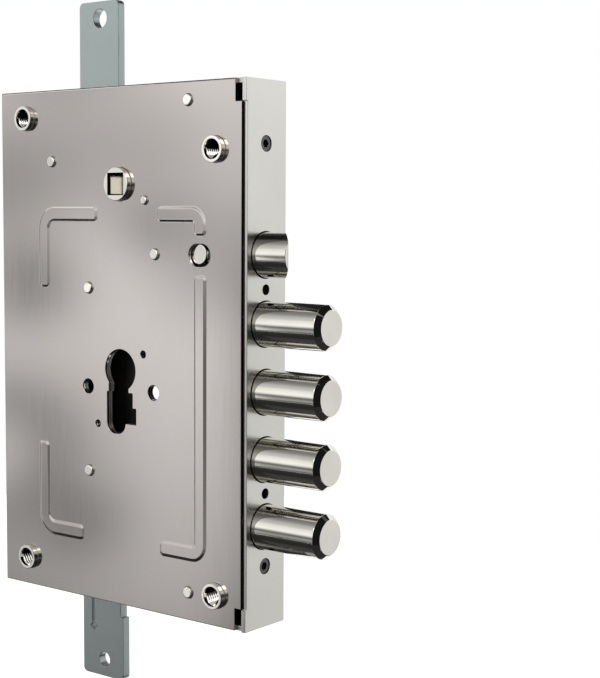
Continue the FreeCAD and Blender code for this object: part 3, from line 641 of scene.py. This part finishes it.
def makeFloor():
    # seamless matt paper: no gloss, and a glow that only the camera and the metal see keeps it clean white
    bpy.ops.mesh.primitive_plane_add(size=studio["floorSize"], location=(0, 0, studio["floorHeight"]))
    floor = bpy.context.active_object
    floor.name = "studioFloor"
    material = bpy.data.materials.new("matteFloor")
    material.use_nodes = True
    tree = material.node_tree
    shader = tree.nodes["Principled BSDF"]
    shader.inputs["Base Color"].default_value = linear(studio["floorColour"])
    shader.inputs["Roughness"].default_value = studio["floorRoughness"]
    shader.inputs["Specular IOR Level"].default_value = 0.0
    path = addNode(tree, "ShaderNodeLightPath")
    seen = addNode(tree, "ShaderNodeMath", {"operation": "MAXIMUM"},
                   {0: path.outputs["Is Camera Ray"], 1: path.outputs["Is Glossy Ray"]})
    glow = addNode(tree, "ShaderNodeEmission", {"Color": (1, 1, 1, 1)})
    lift = addNode(tree, "ShaderNodeMath", {"operation": "MULTIPLY", 1: studio["floorGlow"]},
                   {0: seen.outputs["Value"]})
    tree.links.new(lift.outputs["Value"], glow.inputs["Strength"])
    both = addNode(tree, "ShaderNodeAddShader",
                   links={0: shader.outputs["BSDF"], 1: glow.outputs["Emission"]})
    tree.links.new(both.outputs["Shader"], tree.nodes["Material Output"].inputs["Surface"])
    dress(floor, material)


def makeWorld():
    # a plain white room
    world = bpy.data.worlds.new("studioRoom")
    bpy.context.scene.world = world
    world.use_nodes = True
    room = world.node_tree.nodes["Background"]
    room.inputs["Color"].default_value = (1, 1, 1, 1)
    room.inputs["Strength"].default_value = 1.0


def startCard(card, name):
    # a card lights nothing by itself: only the metal mirrors it
    card.name = name
    material = bpy.data.materials.new(name + "Paint")
    material.use_nodes = True
    tree = material.node_tree
    tree.nodes.remove(tree.nodes["Principled BSDF"])
    dress(card, material)
    for ray in ("camera", "diffuse", "shadow", "transmission"):
        setattr(card, "visible_" + ray, False)
    glow = addNode(tree, "ShaderNodeEmission")
    tree.links.new(glow.outputs["Emission"], tree.nodes["Material Output"].inputs["Surface"])
    place = addNode(tree, "ShaderNodeTexCoord").outputs["Object"]
    return tree, place, glow


def toneAlong(tree, socket, tones, unit=float):
    # tones at places along the socket's value
    low, high = tones[0][0], tones[-1][0]
    along = addNode(tree, "ShaderNodeMapRange", {"From Min": unit(low), "From Max": unit(high)},
                    {"Value": socket})
    stops = [((v - low) / (high - low), tone) for v, tone in tones]
    ramp = addNode(tree, "ShaderNodeValToRGB", {"stops": stops}, {"Fac": along.outputs["Result"]})
    return ramp.outputs["Color"]


# an arc round the X axis from left to right and from low to high, where an angle counts up from straight
# ahead, and a place across is the place along X divided by the distance from the axis
mirrorCards = {
    "radius": 3.0, "segments": 360, "centre": (0, -0.01, -0.1),
    "left": -4.4, "right": 2.9, "low": -29.5, "high": 140,
    "floorCard": ((-4.4, -2.65), (2.9, 0.7)), "floorGap": 0.004,
    # tones that the turned bolts mirror, by angle
    "stripes": [(-130, 0.1), (-111, 0.22), (-93, 0.4), (-85, 0.12), (-78, 0.06), (-65, 0.06), (-53, 0.028),
                (-41, 0.03), (-31, 0.055), (-26, 0.16), (-22, 0.3), (-18, 0.42), (-13, 0.33), (-9, 0.21),
                (-5.5, 0.17), (-2.5, 0.3), (1, 0.66), (5, 1.0), (10, 1.24), (19, 1.14), (29, 1.03),
                (39, 0.71), (49, 0.61), (60, 0.37), (71, 0.24), (83, 0.285), (97, 0.1), (110, 0.01),
                (124, 0.1)],
    # tones that the cover mirrors beside them, by angle
    "cover": [(-130, 0.3), (-30, 0.605), (-24, 0.605), (10, 1.776), (16, 0.85), (30, 1.0), (36, 1.3),
              (52, 1.4), (58, 2.6), (66, 2.6), (70, 0.15), (85, 0.02), (124, 0.02)],
    # the place across times "even" counts leftwards, and a step in it is as wide on the cover as a step in
    # angle. The tones lean with it as far as "leanEnd", and are never darker than "darkest"
    "even": 0.68, "lean": -1.347, "leanEnd": 0.85, "darkest": 0.02,
    # soft spots on the cover: evened place, angle in radians, radius and how much each one adds. A program
    # fitted them, with the lean and the tones from -30 to 10, to the cover's tones in the photo
    "spots": [(0.820, 0.083, 0.165, -0.94), (0.807, -0.247, 0.090, 1.60), (0.698, -0.306, 0.071, -0.60),
              (0.651, 0.113, 0.166, -0.88), (0.785, -0.050, 0.083, -1.05), (0.789, -0.236, 0.121, -1.32),
              (0.662, 0.016, 0.059, -0.60), (0.595, -0.015, 0.115, -0.74), (0.747, 0.226, 0.126, -0.95)],
    # the cover's tones end at this place across, along a slightly tilted line, and below these angles. Far to
    # the left they go on, for views from the right and above
    "split": -0.841, "splitTilt": 0.105, "splitSoft": 0.004,
    "underAngles": (-23, -25.5), "farLeft": (-1.32, -1.22),
}


def addPlane(place, turn, size):
    bpy.ops.mesh.primitive_plane_add(size=1, location=place, rotation=[math.radians(v) for v in turn])
    plane = bpy.context.active_object
    plane.scale = (size[0], size[1], 1)
    bpy.ops.object.transform_apply(location=True, rotation=True, scale=True)
    return plane


def makeMirrorArc(sizes):
    # the arc, joined with a flat card on the floor below it
    centre = Vector(sizes["centre"])
    left, right = sizes["left"], sizes["right"]
    bpy.ops.mesh.primitive_cylinder_add(
        vertices=sizes["segments"], radius=sizes["radius"], depth=right - left, end_fill_type="NOTHING",
        location=((right + left) / 2, centre.y, centre.z), rotation=(0, math.radians(90), 0))
    card = bpy.context.active_object
    bpy.ops.object.transform_apply(location=True, rotation=True, scale=True)

    def isOutside(face):
        place = middle(face)
        angle = math.degrees(math.atan2(place.z - centre.z, centre.y - place.y))
        return not sizes["low"] < angle < sizes["high"]

    startEdit(card)
    pick(card, "faces", isOutside)
    bpy.ops.mesh.delete(type="FACE")
    stopEdit()
    (x0, y0), (x1, y1) = sizes["floorCard"]
    floorPlace = ((x0 + x1) / 2, (y0 + y1) / 2, studio["floorHeight"] + sizes["floorGap"])
    addPlane(floorPlace, (0, 0, 0), (x1 - x0, y1 - y0))
    card.select_set(True)
    bpy.context.view_layer.objects.active = card
    bpy.ops.object.join()
    return card


def addCoverTone(tree, angle, across, sizes):
    spread = addNode(tree, "ShaderNodeMath", {"operation": "MULTIPLY", 1: -sizes["even"]},
                     {0: across}).outputs["Value"]
    near = addNode(tree, "ShaderNodeMath", {"operation": "MINIMUM", 1: sizes["leanEnd"]}, {0: spread})
    lean = addNode(tree, "ShaderNodeMath",
                   {"operation": "MULTIPLY_ADD", 1: sizes["lean"], 2: -sizes["even"] * sizes["lean"]},
                   {0: near.outputs["Value"]})
    total = addNode(tree, "ShaderNodeMath", {"operation": "ADD"},
                    {0: lean.outputs["Value"], 1: toneAlong(tree, angle, sizes["cover"], math.radians)})
    spot = addNode(tree, "ShaderNodeCombineXYZ", links={"X": spread, "Y": angle})
    for x, up, radius, gain in sizes["spots"]:
        gap = addNode(tree, "ShaderNodeVectorMath", {"operation": "DISTANCE", 1: (x, up, 0)},
                      {0: spot.outputs["Vector"]})
        fade = {"interpolation_type": "SMOOTHERSTEP", "From Min": 0.0, "From Max": radius, "To Min": gain,
                "To Max": 0.0}
        soft = addNode(tree, "ShaderNodeMapRange", fade, {"Value": gap.outputs["Value"]})
        total = addNode(tree, "ShaderNodeMath", {"operation": "ADD"},
                        {0: soft.outputs["Result"], 1: total.outputs["Value"]})
    floored = addNode(tree, "ShaderNodeMath", {"operation": "MAXIMUM", 1: sizes["darkest"]},
                      {0: total.outputs["Value"]})
    return floored.outputs["Value"]


def addSplit(tree, angle, across, sizes):
    # 1 where the bolts' stripes show, 0 where the cover's tones do
    tilted = addNode(tree, "ShaderNodeMath", {"operation": "MULTIPLY_ADD", 1: sizes["splitTilt"]},
                     {0: angle, 2: across}).outputs["Value"]
    soft = sizes["splitSoft"]
    steps = []
    for value, start, end in ((tilted, sizes["split"] - soft, sizes["split"] + soft),
                              (angle, *[math.radians(v) for v in sizes["underAngles"]]),
                              (across, *sizes["farLeft"])):
        fade = {"interpolation_type": "SMOOTHSTEP", "From Min": start, "From Max": end}
        step = addNode(tree, "ShaderNodeMapRange", fade, {"Value": value})
        steps.append(step.outputs["Result"])
    right, under, near = steps
    below = addNode(tree, "ShaderNodeMath", {"operation": "MULTIPLY"}, {0: under, 1: near})
    both = addNode(tree, "ShaderNodeMath", {"operation": "MAXIMUM"}, {0: right, 1: below.outputs["Value"]})
    return both.outputs["Value"]


def paintMirrorArc(card, sizes):
    tree, place, glow = startCard(card, "mirrorCards")
    apart = addNode(tree, "ShaderNodeVectorMath", {"operation": "SUBTRACT", 1: sizes["centre"]}, {0: place})
    parts = addNode(tree, "ShaderNodeSeparateXYZ", links={"Vector": apart.outputs["Vector"]})
    ahead = addNode(tree, "ShaderNodeMath", {"operation": "MULTIPLY", 1: -1.0}, {0: parts.outputs["Y"]})
    angle = addNode(tree, "ShaderNodeMath", {"operation": "ARCTAN2"},
                    {0: parts.outputs["Z"], 1: ahead.outputs["Value"]}).outputs["Value"]
    flat = addNode(tree, "ShaderNodeVectorMath", {"operation": "MULTIPLY", 1: (0, 1, 1)},
                   {0: apart.outputs["Vector"]})
    reach = addNode(tree, "ShaderNodeVectorMath", {"operation": "LENGTH"}, {0: flat.outputs["Vector"]})
    across = addNode(tree, "ShaderNodeMath", {"operation": "DIVIDE"},
                     {0: parts.outputs["X"], 1: reach.outputs["Value"]}).outputs["Value"]
    stripes = toneAlong(tree, angle, sizes["stripes"], math.radians)
    cover = addCoverTone(tree, angle, across, sizes)
    both = addNode(tree, "ShaderNodeMix", {"data_type": "RGBA"},
                   {0: addSplit(tree, angle, across, sizes), 6: cover, 7: stripes})
    tree.links.new(both.outputs[2], glow.inputs["Color"])


# place, turn, size, and either one tone or tones by height
plainCards = {
    "keyCard": ((0.45, -1.5, 1.15), (90, 0, 0), (0.9, 0.6), 3.0),
    "ceilingCard": ((0.85, 0.16, 0.75), (0, 0, 0), (1.6, 0.54), 0.01),
    "backCeilingCard": ((0.18, 1.07, 0.75), (0, 0, 0), (0.56, 1.28), 0.01),
    "leftBackCard": ((-1.6, 0.9, 0.4), (0, 90, 0), (3.4, 2.4), 0.02),
    "lowCard": ((0.85, 0.4, -0.75), (0, 0, 0), (1.6, 2.4), 0.03),
    "lowStripCard": ((1.08, 0.03, -0.745), (0, 0, 0), (1.15, 0.16), 1.1),
    "forendCard": ((0.62, 0.62, -0.12), (90, 0, 0), (1.3, 0.9),
                   [(-0.57, 0.85), (-0.12, 0.87), (0.0, 0.95), (0.12, 1.1), (0.33, 1.25)]),
}
rightDisc = {"radius": 1.05, "segments": 96, "place": (0.9, -0.02, -0.1), "tone": 0.01}


def makeCards():
    paintMirrorArc(makeMirrorArc(mirrorCards), mirrorCards)
    for name, (place, turn, size, tone) in plainCards.items():
        tree, spot, glow = startCard(addPlane(place, turn, size), name)
        if isinstance(tone, float):
            glow.inputs["Color"].default_value = (tone, tone, tone, 1)
        else:
            height = addNode(tree, "ShaderNodeSeparateXYZ", links={"Vector": spot})
            tree.links.new(toneAlong(tree, height.outputs["Z"], tone), glow.inputs["Color"])
    bpy.ops.mesh.primitive_circle_add(
        vertices=rightDisc["segments"], radius=rightDisc["radius"], fill_type="NGON",
        location=rightDisc["place"], rotation=(0, math.radians(90), 0))
    bpy.ops.object.transform_apply(location=True, rotation=True, scale=True)
    tree, spot, glow = startCard(bpy.context.active_object, "rightDiscCard")
    glow.inputs["Color"].default_value = (rightDisc["tone"], rightDisc["tone"], rightDisc["tone"], 1)


def makeCamera():
    azimuth, elevation, roll = (math.radians(studio[k]) for k in ("azimuth", "elevation", "roll"))
    right = Vector((math.cos(azimuth), math.sin(azimuth), 0))
    back = Vector((math.sin(azimuth) * math.cos(elevation), -math.cos(azimuth) * math.cos(elevation),
                   math.sin(elevation)))
    up = back.cross(right)
    camera = placeData("photoCamera", bpy.data.cameras.new("photoCamera"))
    level, lean = math.cos(roll), math.sin(roll)
    turned = (right * level + up * lean, up * level - right * lean, back)
    camera.matrix_world = Matrix.Translation(studio["eye"]) @ Matrix(turned).transposed().to_4x4()
    camera.data.lens = studio["lens"]
    camera.data.sensor_width = studio["sensor"]
    camera.data.clip_start, camera.data.clip_end = studio["clip"]
    bpy.context.scene.camera = camera


makeFloor()
makeWorld()
makeCards()
makeCamera()
bpy.context.scene.view_settings.view_transform = "Standard"
print("studio set")
